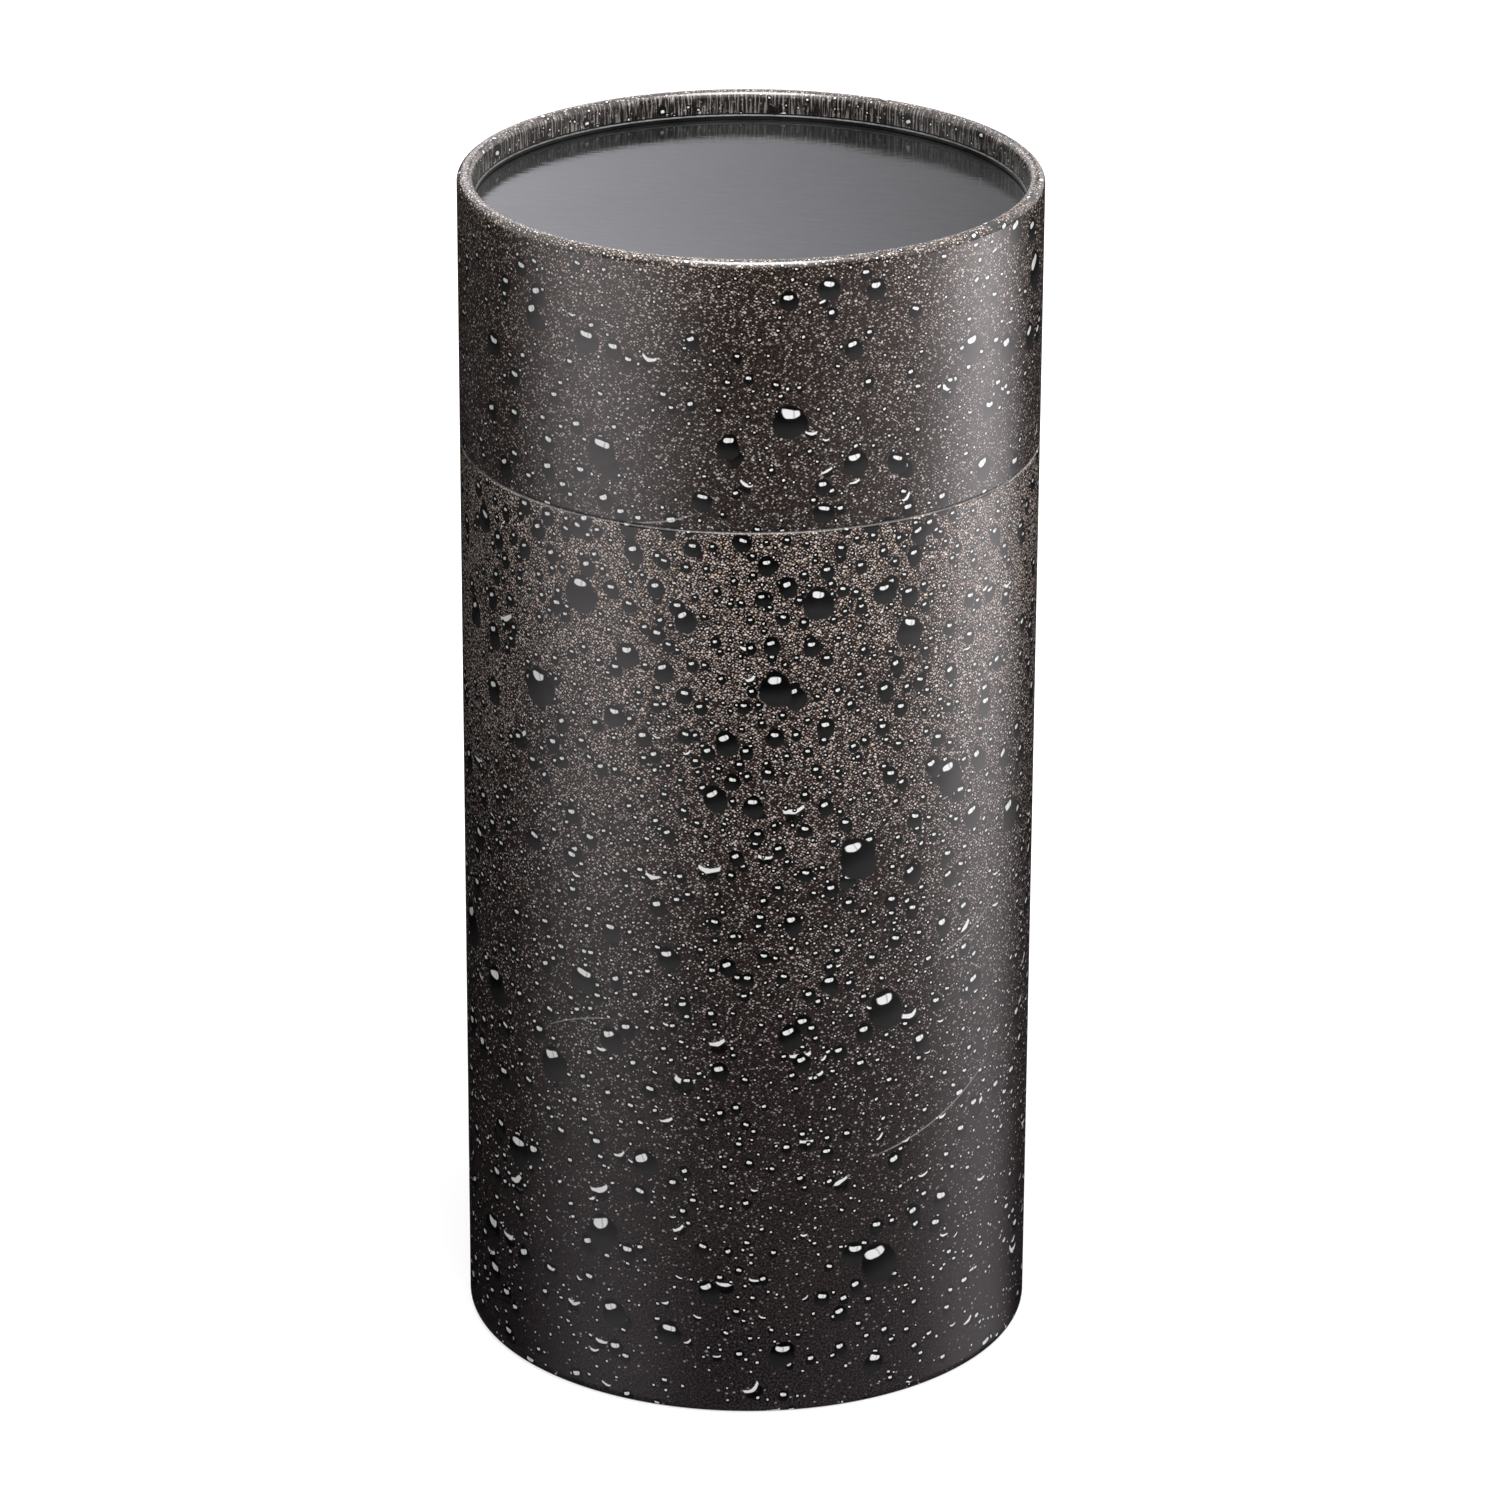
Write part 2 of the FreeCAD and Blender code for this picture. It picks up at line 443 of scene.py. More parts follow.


# %% [markdown]
# Over the ground lies a mist: a dense dusting of tiny pale grains, thick on the upper body and
# thinning towards the foot. One noise could stand for the mist, but then it would look like smoke.
# Three scatters of grains keep it crisp. Inside the upper fold the mist thins, and pale and dark
# streaks along the pleats are painted light and shade of the pleats.

# %% Mist
mist_curve = 1.62
fold_clearing = 0.78
neutral_grain = (0.83, 0.775, 0.775, 1.0)
warm_grain = (0.87, 0.70, 0.575, 1.0)
light_grain = (0.91, 0.81, 0.765, 1.0)
# painted light and painted shade of the pleats inside the fold, not print
painted_pleat_light = grey(0.42, 0.03)
painted_pleat_shade = grey(0.004)


def mist_layer(sheet, ground, mist):
    """Three dustings of grains on the ground. mist says how dense they are at the low and the
    high end of the sheet, and how much more of them lies on the fold above."""
    mist_low, mist_high, mist_fold = mist
    density = (sheet.climb ** mist_curve * (mist_high - mist_low) + mist_low) * (0.5 + sheet.wide)
    density = density + smooth(sheet.height, sheet.top - 1.8, sheet.top + 0.6) * mist_fold
    density = density * (1.0 - sheet.inside * fold_clearing)
    strength = sheet.start.maths("MINIMUM", density * 0.55 + 0.40, 1.0)
    warmth = smooth(sheet.noise(0.45, 2.0, 0.6, 0, 40.0), 0.38, 0.62)
    grain = tint(sheet.climb, neutral_grain, tint(warmth, warm_grain, light_grain))
    # streaks along the pleats inside the fold: painted light and painted shade of the pleats
    drawn_out = sheet.start.node("ShaderNodeMapping", None, {
        "Vector": sheet.place, "Scale": (1.9, 0.14, 1.0)})
    pleats = sheet.start.node("ShaderNodeTexNoise", {"noise_dimensions": "2D"}, {
        "Vector": drawn_out, "Scale": 1.0, "Detail": 2.0, "Roughness": 0.6})
    colour = tint(smooth(pleats, 0.50, 0.66) * sheet.inside * 0.52, ground, painted_pleat_light)
    dustings = (
        (0.58, 0.6, 2.7, (0.15, 0.31), density * 0.80),
        (0.95, 0.2, 9.1, (0.20, 0.40), density * 0.38),
        (1.70, 1.3, 14.3, (0.28, 0.48), sheet.climb * 0.10 + 0.21),
    )
    for cell, turn, shift, sizes, share in dustings:
        dust = bead_scatter(sheet.place, cell, turn, sheet.seed + shift, sizes, share,
                            sheet.wobbles["ragged"])
        colour = tint(dust * strength, colour, grain)
    return tint(smooth(pleats, 0.52, 0.40) * sheet.inside * 0.85, colour, painted_pleat_shade)


# %% [markdown]
# ## Drops over the mist
#
# Over the mist come strokes, beads, and small, medium, large and huge drops, each larger kind
# covering the smaller. The kinds differ in the width of their cells, their size, how they behave
# near the fold and the shape of their glint, so they are rows of a table.

# %% Layers of drops
ink_dark = grey(0.0015, 0.05)
paper_white = grey(0.86, 0.01)
# cell, turn and shift of the net, least and most size in millimetres
stroke_kinds = (
    (7.0, 0.4, 6.6, (0.8, 1.5)),
    (12.0, 0.9, 4.4, (1.5, 2.7)),
)
# the same, then share left on the fold, millimetres clear of it, wobble, glint, belly's grey
drop_kinds = {
    "beads": (2.9, 0.30, 3.1, (0.42, 0.74), 1.2, 0.0, "ragged", (0.06, 0.44, 0.34), 0.003),
    "small": (4.6, 1.10, 5.9, (0.80, 1.35), 0.5, 0.0, "ragged", (0.16, 0.50, 0.26), 0.006),
    "medium": (7.0, 0.70, 8.3, (1.35, 2.25), 0.3, 0.0, "ragged", (0.27, 0.50, 0.22), 0.012),
    "large": (13.0, 0.20, 2.2, (2.1, 3.2), 0.0, 2.0, "bulging", (0.40, 0.50, 0.20), 0.018),
    "huge": (27.0, 0.50, 7.7, (3.5, 4.8), 0.0, 4.5, "bulging", (0.48, 0.54, 0.21), 0.018),
}
print("kinds of drops:", ", ".join(drop_kinds))


def drop_layers(sheet, colour, shares, gains):
    """Strokes and drops over a colour. shares and gains say, at the low and the high end of the
    sheet, how many there are of each kind and how large their glints."""
    strokes = sheet.by_height(shares["strokes"], 0.5)
    for cell, turn, shift, sizes in stroke_kinds:
        body, stroke = stroke_scatter(sheet.place, cell, turn, sheet.seed + shift, sizes, strokes,
                                      sheet.wobbles["bulging"])
        colour = tint(stroke, tint(body * 0.9, colour, ink_dark), paper_white)
    gain = sheet.climb * (gains[1] - gains[0]) + gains[0]
    for kind, row in drop_kinds.items():
        cell, turn, shift, sizes, on_fold, clear, wobble, glint, belly = row
        share = sheet.by_height(shares[kind], on_fold, clear)
        body, shade, spark = drop_scatter(sheet.place, cell, turn, sheet.seed + shift, sizes,
                                          share, sheet.wobbles[wobble], glint, gain)
        colour = tint(body, colour, tint(shade, grey(belly, 0.02), ink_dark))
        colour = tint(spark, colour, paper_white)
    return colour


# %% [markdown]
# ## Wear, creases and painted highlights
#
# The folded edge at the seam is rubbed pale, and this pale line is also a painted highlight along
# the edge. Where the wound paper buckled a little, a few long creases catch light. A crease could
# be a dent in the mesh, but it is hardly wider than one column of the mesh, so the light it catches
# is a
# painted highlight: a pale line that also stands a little proud in the bump.

# %% Wear and creases
# pale of the rubbed seam edge, which is also its painted highlight
rubbed_and_highlight_pale = grey(0.32, 0.03)
# painted highlight along each crease
crease_highlight = grey(0.42, 0.02)


def rubbed_and_highlight_edge(sheet, colour, wear_and_highlight):
    """A colour paled along the folded top edge: print rubbed off, and a painted highlight."""
    # the pale mix is partly print rubbed off and partly a painted highlight on the folded edge
    rubbed = (smooth(sheet.height, sheet.top - 0.55, sheet.top - 0.20)
              * smooth(sheet.height, sheet.top + 0.90, sheet.top + 0.40))
    return tint(rubbed * wear_and_highlight, colour, rubbed_and_highlight_pale)


def crease(place, start, end, sag, width):
    """A thin bowed line from start to end on the sheet, fading at both ends."""
    run = Vector(end) - Vector(start)
    along = run.normalized()
    here = vector("SUBTRACT", place, (start[0], start[1], 0.0))
    share = vector("DOT_PRODUCT", here, (along.x, along.y, 0.0)).out("Value") / run.length
    aside = vector("DOT_PRODUCT", here, (-along.y, along.x, 0.0)).out("Value")
    off = aside - sag * 4 * share * (1 - share)
    return smooth(abs(off), width, 0.0) * smooth(share, 0.0, 0.2) * smooth(share, 1.0, 0.7)


# %% [markdown]
# ## The whole print
#
# The layers are put together here, and one satin sheen lies over them, because the sheet is
# laminated. The film could be a coat over a dull paper, but the print can't be seen without it, so
# one smooth shader with faint scuffs stands for both.

# %% The laminated print
def printed_finish(name, span, seed, ground_colours, mist, shares, gains, wear_and_highlight, creases):
    """The laminated print of one sheet. span is its low and high height in millimetres."""
    finish, shader, start = new_finish(name, Specular_IOR_Level=1.0)
    sheet = Unrolled(start, span, seed)
    colour = mist_layer(sheet, ground_layer(sheet, ground_colours), mist)
    colour = drop_layers(sheet, colour, shares, gains)
    colour = rubbed_and_highlight_edge(sheet, colour, wear_and_highlight)
    raised = sheet.noise(1.6, 2.0) * 0.3
    for one in creases:
        # each crease is a pale line of painted highlight, and a raise in the bump
        line = crease(sheet.place, *one)
        colour = tint(line * 0.6, colour, crease_highlight)
        raised = raised + line
    scuff = sheet.noise(0.25, 4.0)
    bump = start.node("ShaderNodeBump", None, {
        "Strength": 0.12, "Distance": 0.00012, "Height": raised})
    feed(shader, Base_Color=colour, Roughness=scuff * 0.06 + 0.21, Normal=bump)
    return finish


# %% [markdown]
# The body and the lid carry sheets of the same kind with other amounts of everything. The body is
# misted at the top and nearly clear at the foot, and most of its drops lie high up. The lid is
# evenly and thinly misted. Each has its own seed, so that no drop comes twice.

# %% The two prints
body_print = printed_finish(
    "body_print", span=(0.0, 213.0), seed=0.0,
    ground_colours=((0.0262, 0.0206, 0.0219, 1.0), (0.0275, 0.0166, 0.0134, 1.0)),
    mist=(0.0, 1.48, 0.0),
    shares={"beads": (0.26, 0.66), "small": (0.20, 0.82), "medium": (0.15, 0.58),
            "large": (0.17, 0.32), "huge": (0.22, 0.50), "strokes": (0.20, 0.04)},
    gains=(1.12, 0.78), wear_and_highlight=0.5,
    creases=(((227.0, 61.0), (268.0, 78.0), -2.5, 0.30),
             ((244.0, 106.0), (268.0, 116.0), -1.5, 0.25),
             ((150.0, 88.0), (171.0, 95.0), 1.2, 0.22)))
lid_print = printed_finish(
    "lid_print", span=(213.0, 274.0), seed=21.0,
    ground_colours=((0.0325, 0.0226, 0.0192, 1.0), (0.0305, 0.0210, 0.0174, 1.0)),
    mist=(0.50, 0.64, 0.22),
    shares={"beads": (0.30, 0.32), "small": (0.22, 0.22), "medium": (0.18, 0.18),
            "large": (0.38, 0.28), "huge": (0.16, 0.05), "strokes": (0.05, 0.05)},
    gains=(1.00, 1.00), wear_and_highlight=0.0,
    creases=(((174.0, 213.4), (190.0, 217.5), -0.8, 0.30),))
print("print nodes:", len(body_print.node_tree.nodes))

# %% [markdown]
# The cut edge and the back of a printed sheet show its plain paper core: an off-white with faint
# fibres in it. The same finish in other colours serves for the plain papers further on.

# %% Paper core
def paper_finish(name, light, dark, fibre_scale, roughness):
    """Uncoated paper with cloudy fibres."""
    finish, shader, start = new_finish(name, Specular_IOR_Level=0.25)
    place = start.node("ShaderNodeTexCoord", None, None, "Object")
    cloud = start.node("ShaderNodeTexNoise", None, {
        "Vector": place, "Scale": fibre_scale, "Detail": 5.0, "Roughness": 0.7})
    fleck = start.node("ShaderNodeTexNoise", None, {
        "Vector": place, "Scale": fibre_scale * 6, "Detail": 2.0})
    colour = tint(smooth(cloud, 0.3, 0.7), dark, light)
    colour = tint(smooth(fleck, 0.66, 0.74) * 0.5, colour, dark)
    bump = start.node("ShaderNodeBump", None, {
        "Strength": 0.25, "Distance": 0.00008, "Height": fleck})
    feed(shader, Base_Color=colour, Roughness=cloud * 0.15 + roughness, Normal=bump)
    return finish


paper_core = paper_finish("paper_core", grey(0.72, 0.02), grey(0.58, 0.04), 900.0, 0.7)
print(paper_core.name, "has", len(paper_core.node_tree.nodes), "nodes")

# %% [markdown]
# ## A folded sheet
#
# A printed sheet is wound once around the board and its ends lie over each other down the back. Its
# edges are folded over the ends of the board, and on the inside of a fold the paper has too much
# length, so it lies in fine upright pleats. A sheet could be turned as a plain ring, but then the
# lap and the pleats would be missing. So the mesh is made column by column around the tube, and
# each column follows the same path over the board with its own small offsets.

# %% The path over the board
def rounded_path(corners, steps=8, margin=0.4 * MM, most=0.35):
    """Points along (radius, height, rounding) corners, with arcs and a close point beside each."""
    points = []

    def beside(here, other, other_rounding, rounding):
        flat = (Vector(other) - here).length - rounding - other_rounding
        return rounding + min(margin, most * flat)

    for index, (radius, height, rounding) in enumerate(corners):
        here = Vector((radius, height))
        if not rounding:
            points.append(here)
            continue
        *before, before_rounding = corners[index - 1]
        *after, after_rounding = corners[index + 1]
        back = (Vector(before) - here).normalized()
        ahead = (Vector(after) - here).normalized()
        centre = here + (back + ahead) * rounding
        points.append(here + back * beside(here, before, before_rounding, rounding))
        for step in range(steps + 1):
            turn = step / steps * math.pi / 2
            forward = ahead * rounding * math.cos(turn)
            backward = back * rounding * math.sin(turn)
            points.append(centre - forward - backward)
        points.append(here + ahead * beside(here, after, after_rounding, rounding))
    return points


def wander(count, low, high, seed, waves=40):
    """A smooth random curve around the tube, from 0 to 1, with low to high waves in the turn."""
    draw = np.random.default_rng(seed)
    turn = np.linspace(0, 2 * math.pi, count, endpoint=False)
    curve = np.zeros(count)
    starts = zip(draw.integers(low, high, waves), draw.uniform(0, 2 * math.pi, waves))
    for wave, start in starts:
        curve += np.sin(wave * turn + start)
    spread = 2.2 * math.sqrt(waves)
    return np.clip(0.5 + curve / spread, 0, 1)


# %% [markdown]
# The end of the sheet rises over its own start in a soft step, and the lap fades out towards the
# folds. Extra rows on the wall keep its shading flat, because one tall face would blend the light
# of the faded end into the whole height of the wall.

# %% Points of the sheet
TINY = 1e-6
lap_width = 8.0 * MM
lap_rise_width = 2.2 * MM
lap_taper = 1.0 * MM
columns = 1000
hidden_steps = 3
fewest_pleats, most_pleats = 90, 330
pleat_sharpness = 1.5
print("lap %.1f mm wide, %d columns around" % (lap_width / MM, columns))


def wall_rows(low, high):
    """Corners on the straight wall, where the lap has reached its full height at either end."""
    levels = (low + 1.2 * lap_taper, low + 2.4 * lap_taper,
              high - 2.4 * lap_taper, high - 1.2 * lap_taper)
    return [(outer_radius, level, 0) for level in levels]


def sheet_points(section, face_rows, wall, pleated, seed):
    """The points of a sheet, and their numbers by column and row. The first face_rows of the
    section are printed, and the others are the sheet's back."""
    low, high = wall
    raised, depth = [], []
    for row, point in enumerate(section):
        edge = min(point.y - low, high - point.y)
        on_wall = row < face_rows and point.x > outer_radius - TINY
        raised.append(paper * min(edge / lap_taper, 1.0) if on_wall and edge > TINY else 0.0)
        inside = row < face_rows and point.x < fold_inner + TINY
        depth.append(pleated(point.y) if inside else 0.0)

    lap_turn = lap_width / outer_radius
    rise_turn = lap_rise_width / outer_radius
    first_turn = math.pi / 2 + lap_turn / 2
    pleats = wander(columns, fewest_pleats, most_pleats, seed) ** pleat_sharpness
    vertices, ids = [], []
    for column in range(columns + 1):
        turn = first_turn + 2 * math.pi * column / columns
        left = 2 * math.pi - 2 * math.pi * column / columns
        lift = min(max((lap_turn + rise_turn - left) / rise_turn, 0.0), 1.0)
        lift = lift * lift * (3 - 2 * lift)
        ids.append([])
        for row, point in enumerate(section):
            if column == columns and not raised[row]:
                ids[-1].append(ids[0][row])
                continue
            radius = point.x + raised[row] * lift - depth[row] * pleats[column % columns]
            ids[-1].append(len(vertices))
            vertices.append((radius * math.cos(turn), radius * math.sin(turn), point.y))
    return vertices, ids


# %% [markdown]
# Two maps lie on the sheet. One gives every point its place on the print, unrolled in millimetres,
# with heights that run on over the folds. The other fills a square for the closing export, most of
# it with the printed face.

# %% Maps of the sheet
face_share = 0.92


def sheet_heights(section, face_rows):
    """For each row and the closing one, the height on the print and the height on the square."""
    run = [0.0]
    for one, two in zip(section, section[1:] + section[:1]):
        run.append(run[-1] + (two - one).length)
    wall_row = next(row for row, point in enumerate(section) if point.x > outer_radius - TINY)
    print_heights = [(section[wall_row].y + length - run[wall_row]) / MM for length in run]
    face_run = run[face_rows - 1]
    square_heights = []
    for row, length in enumerate(run):
        if row < face_rows:
            square_heights.append(length / face_run * face_share)
        else:
            rest = (length - face_run) / (run[-1] - face_run)
            square_heights.append(face_share + rest * (1 - face_share))
    return print_heights, square_heights


# %% [markdown]
# Between two columns lies one strip of faces. Each face takes the finish of its part of the sheet,
# and the back and the cut edges are paper core. The first and the last column are joined where the
# sheet isn't lapped, and a narrow strip closes the step of the lap, so the mesh has no open edge.

# %% Faces of the sheet
# the last kind is the hem's pale top edge: worn, and a painted highlight
PRINT, CORE, FILM, WORN_HIGHLIGHT = range(4)


def sheet_faces(ids, print_heights, square_heights, trims):
    """The faces of a sheet, their finishes and both maps, ending with the step of the lap."""
    rows = len(ids[0])
    around = 2 * math.pi * outer_radius / MM
    faces, kinds, print_map, square_map = [], [], [], []
    for column in range(columns):
        for row in range(rows):
            after = (row + 1) % rows
            faces.append((ids[column][row], ids[column + 1][row],
                          ids[column + 1][after], ids[column][after]))
            kinds.append(max(trims[row], trims[after]) if row < len(trims) - 1 else CORE)
            for step, line in ((0, row), (1, row), (1, row + 1), (0, row + 1)):
                share = (column + step) / columns
                print_map.append((share * around, print_heights[line]))
                square_map.append((share, square_heights[line]))
    for row in range(rows):
        after = (row + 1) % rows
        corners = (ids[columns][row], ids[0][row], ids[0][after], ids[columns][after])
        ring = tuple(dict.fromkeys(corners))
        if len(ring) < 3:
            continue
        faces.append(ring)
        kinds.append(CORE)
        print_map += [(0.0, print_heights[row])] * len(ring)
        square_map += [(0.0, square_heights[row])] * len(ring)
    return faces, kinds, print_map, square_map


# %% [markdown]
# The points, faces and maps become one mesh. Its shading is smooth along the wall and over the
# roundings, and breaks where two faces meet at a sharp angle, as at the cut end of the lap.

# %% The sheet
sharp_angle = math.radians(42)


def folded_sheet(name, face, back, wall, pleated, trim, seed):
    """A closed mesh of one sheet. face and back are its paths; wall is the range of heights that
    the lap runs over; pleated gives, for a height on the inside of a fold, how deep the pleats
    are; trim gives, for a point of the face, which finish it has."""
    section = face + back
    vertices, ids = sheet_points(section, len(face), wall, pleated, seed)
    print_heights, square_heights = sheet_heights(section, len(face))
    trims = [trim(point) for point in face]
    faces, kinds, print_map, square_map = sheet_faces(ids, print_heights, square_heights, trims)
    mesh = bpy.data.meshes.new(name)
    mesh.from_pydata(vertices, [], faces)
    for label, table in (("print", print_map), ("OFBake", square_map)):
        layer = mesh.uv_layers.new(name=label)
        layer.uv.foreach_set("vector", np.array(table, np.float32).ravel())
    mesh.polygons.foreach_set("material_index", np.array(kinds, np.int32))
    mesh.shade_smooth()
    mesh.set_sharp_from_angle(angle=sharp_angle)
    mesh.update()
    print(name, len(vertices), "points,", len(faces), "faces")
    return placed(name, mesh)


# %% [markdown]
# ## The sheet on the body
#
# It is folded in under the foot, with pleats inside the foot's recess, and over the shoulder, where
# the neck holds the fold flat. Its whole face is printed.

# %% Body sheet
foot_rounding = 1.20 * MM
shoulder_rounding = 0.80 * MM
fold_reach = 14.0 * MM
shoulder_fold = shoulder_level - fold_reach
foot_fold = facing_level - glue_line
pleat_depth = 0.16 * MM
pleat_start = 1.2 * MM
foot_pleat_run = 2.0 * MM

body_wall = (foot_rounding, shoulder_level - shoulder_rounding)
body_face = rounded_path([
    (fold_inner, foot_fold, 0), (fold_inner, 0, foot_rounding), (outer_radius, 0, foot_rounding),
    *wall_rows(*body_wall),
    (outer_radius, shoulder_level, shoulder_rounding),
    (fold_inner, shoulder_level, shoulder_rounding), (fold_inner, shoulder_fold, 0)])
body_back = rounded_path([
    (fold_outer, shoulder_fold, 0),
    (fold_outer, shoulder_level - paper, shoulder_rounding - paper),
    (outer_radius - paper, shoulder_level - paper, shoulder_rounding - paper),
    (outer_radius - paper, paper, foot_rounding - paper),
    (fold_outer, paper, foot_rounding - paper), (fold_outer, foot_fold, 0)], steps=hidden_steps)


def body_pleats(height):
    """Pleats that deepen upwards in the foot's recess, and none at the shoulder."""
    if height > foot_fold + TINY:
        return 0.0
    return pleat_depth * min(max((height - pleat_start) / foot_pleat_run, 0), 1)


def body_trim(point):
    """Print all over the face."""
    return PRINT


body_sheet = folded_sheet(
    "body_sheet", body_face, body_back, body_wall, body_pleats, body_trim, seed=11)
body_sheet.data.materials.append(body_print)
body_sheet.data.materials.append(paper_core)
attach(body_sheet, "tube")
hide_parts("body_wrap")

# %% [markdown]
# ## The sheet on the lid
#
# At the top it is folded over a rounded rim and down the inside, where its edge is hemmed just
# above the glossy panel. A short strip of dark film just above the hem is painted shade where the
# fold is tucked behind the hem. At the mouth the sheet is folded in and up.

# %% Lid sheet
rim_rounding = 1.70 * MM
mouth_rounding = 0.45 * MM
mouth_fold = shoulder_level + fold_reach
hem_low = panel_level + 0.05 * MM
hem_high = panel_level + 1.20 * MM
hem_rounding = 0.29 * MM
hem_inner = fold_inner - paper
# the strip of dark film this high above the hem is painted shade where the fold tucks behind it
tuck_shade = 0.35 * MM

lid_wall = (shoulder_level + mouth_rounding, rim_level - rim_rounding)
lid_face = rounded_path([
    (fold_inner, mouth_fold, 0), (fold_inner, shoulder_level, mouth_rounding),
    (outer_radius, shoulder_level, mouth_rounding), *wall_rows(*lid_wall),
    (outer_radius, rim_level, rim_rounding), (fold_inner, rim_level, rim_rounding),
    (fold_inner, hem_high + tuck_shade, 0), (fold_inner, hem_high, 0)])
lid_face += rounded_path([
    (fold_inner, hem_high, 0), (hem_inner, hem_high, hem_rounding),
    (hem_inner, hem_low, hem_rounding), (fold_outer, hem_low, 0)], steps=4, margin=0.01 * MM)[1:]
lid_back = rounded_path([
    (fold_outer, hem_low, 0), (fold_outer, rim_level - paper, rim_rounding - paper),
    (outer_radius - paper, rim_level - paper, rim_rounding - paper),
    (outer_radius - paper, shoulder_level + paper, mouth_rounding - paper),
    (fold_outer, shoulder_level + paper, mouth_rounding - paper), (fold_outer, mouth_fold, 0)],
    steps=hidden_steps)[1:]
print("lid sheet: %d points across its face, %d across its back" % (len(lid_face), len(lid_back)))

# %% [markdown]
# The pleats start just below the rim and end at the hem. The hem could be a ring of its own, but it
# is the edge of the same sheet, so only its finish changes: film, and a pale line along its top
# that is both worn and a painted highlight.

# %% Pleats and hem of the lid
near = 0.01 * MM
worn_highlight_height = 0.20 * MM
rim_pleat_run = 2.5 * MM


def lid_pleats(height):
    """Pleats that deepen downwards from the rim and end at the hem."""
    if height < hem_high - near:
        return 0.0
    return pleat_depth * min(max((rim_level - pleat_start - height) / rim_pleat_run, 0), 1)


def lid_trim(point):
    """Print, and film on the hem; its pale top edge is both worn and a painted highlight."""
    if point.x > fold_inner + near or not hem_low <= point.y <= hem_high + near:
        return PRINT
    # the pale top edge of the hem is both wear and a painted highlight
    worn = point.x < fold_inner - near and point.y > hem_high - worn_highlight_height
    return WORN_HIGHLIGHT if worn else FILM


lid_sheet = folded_sheet(
    "lid_sheet", lid_face, lid_back, lid_wall, lid_pleats, lid_trim, seed=12)
lid_sheet.data.materials.append(lid_print)
lid_sheet.data.materials.append(paper_core)
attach(lid_sheet, "lid")
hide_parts("lid_wrap")

# %% [markdown]
# ## The glossy panel
#
# The panel in the lid is black paper under a clear gloss film. It mirrors the wall of the recess,
# slightly blurred, its film shows a fine grain, and it is bowed up a little at the back left. The
# imported solid stays as it is, so the bow is only in the bump. The hem of the lid's sheet is bound
# with the same film, so it shows as a dark bead, and its top edge is a thin pale line that is both
# worn and a painted highlight.

# %% Panel
grain_height = 4.0
bow_height = 170.0


def panel_finish():
    """Black paper under gloss film, with its grain and its bow in the bump."""
    finish, shader, start = new_finish("panel_gloss", Specular_IOR_Level=0.5)
    place = start.node("ShaderNodeTexCoord", None, None, "Object")
    combed = start.node("ShaderNodeMapping", None, {
        "Vector": place, "Scale": (180.0, 760.0, 1.0)})
    grain = start.node("ShaderNodeTexNoise", None, {
        "Vector": combed, "Scale": 1.0, "Detail": 3.0, "Roughness": 0.6})
    cloud = start.node("ShaderNodeTexNoise", None, {"Vector": place, "Scale": 40.0, "Detail": 3.0})
    colour = tint(smooth(grain, 0.3, 0.7), grey(0.008), grey(0.014))
    back_left = vector("DOT_PRODUCT", place, (-0.50, 0.87, 0.0)).out("Value")
    bow = smooth(back_left, 0.015, 0.075)
    bump = start.node("ShaderNodeBump", None, {
        "Strength": 1.0, "Distance": 0.00001, "Height": grain * grain_height + bow * bow_height})
    feed(shader, Base_Color=colour, Roughness=cloud * 0.06 + 0.07, Normal=bump)
    return finish


panel_gloss = panel_finish()
lid_sheet.data.materials.append(panel_gloss)
# the hem's pale top edge: worn paper, and a painted highlight
lid_sheet.data.materials.append(paper_finish("hem_highlight_edge", grey(0.17), grey(0.07), 300.0, 0.35))
print("panel and hem share", panel_gloss.name)

# %% [markdown]
# ## Plain board and papers
#
# The wound board is brown, the discs are grey board, and both are cloudy with short fibres. The
# neck and the underside have black paper, and the inside is lined with natural brown paper. One
# finish per kind of material is enough, and every solid takes the one that its record names.

# %% Board and papers
def board_finish(name, light, dark):
    """Bare board: cloudy, with short fibres."""
    finish, shader, start = new_finish(name, Specular_IOR_Level=0.2)
    place = start.node("ShaderNodeTexCoord", None, None, "Object")
    cloud = start.node("ShaderNodeTexNoise", None, {
        "Vector": place, "Scale": 260.0, "Detail": 6.0, "Roughness": 0.7})
    fibre = start.node("ShaderNodeTexNoise", None, {
        "Vector": place, "Scale": 2400.0, "Detail": 2.0})
    colour = tint(smooth(cloud, 0.28, 0.72), dark, light)
    colour = tint(smooth(fibre, 0.62, 0.75) * 0.6, colour, dark)
    bump = start.node("ShaderNodeBump", None, {
        "Strength": 0.35, "Distance": 0.0001, "Height": fibre})
    feed(shader, Base_Color=colour, Roughness=cloud * 0.15 + 0.75, Normal=bump)
    return finish


finishes = {
    "tube_board": board_finish("tube_board", grey(0.36, 0.32), grey(0.24, 0.34)),
    "disc_board": board_finish("disc_board", grey(0.34, 0.06), grey(0.24, 0.06)),
    "neck_paper": paper_finish("neck_paper", grey(0.022, 0.02), grey(0.014, 0.02), 700.0, 0.5),
    "facing_paper": paper_finish(
        "facing_paper", grey(0.026, 0.02), grey(0.017, 0.02), 700.0, 0.55),
    "lining_paper": paper_finish("lining_paper", grey(0.40, 0.34), grey(0.29, 0.36), 700.0, 0.7),
    "panel_paper": panel_gloss,
}
for entry in frame["record"]["subparts"]:
    finish = finishes.get(entry["material_slot"])
    if finish is None:
        continue
    solid = frame["nodes"][entry["node"]]
    for index in range(len(solid.material_slots)):
        solid.material_slots[index].material = finish
    print(entry["node"], "is", finish.name)

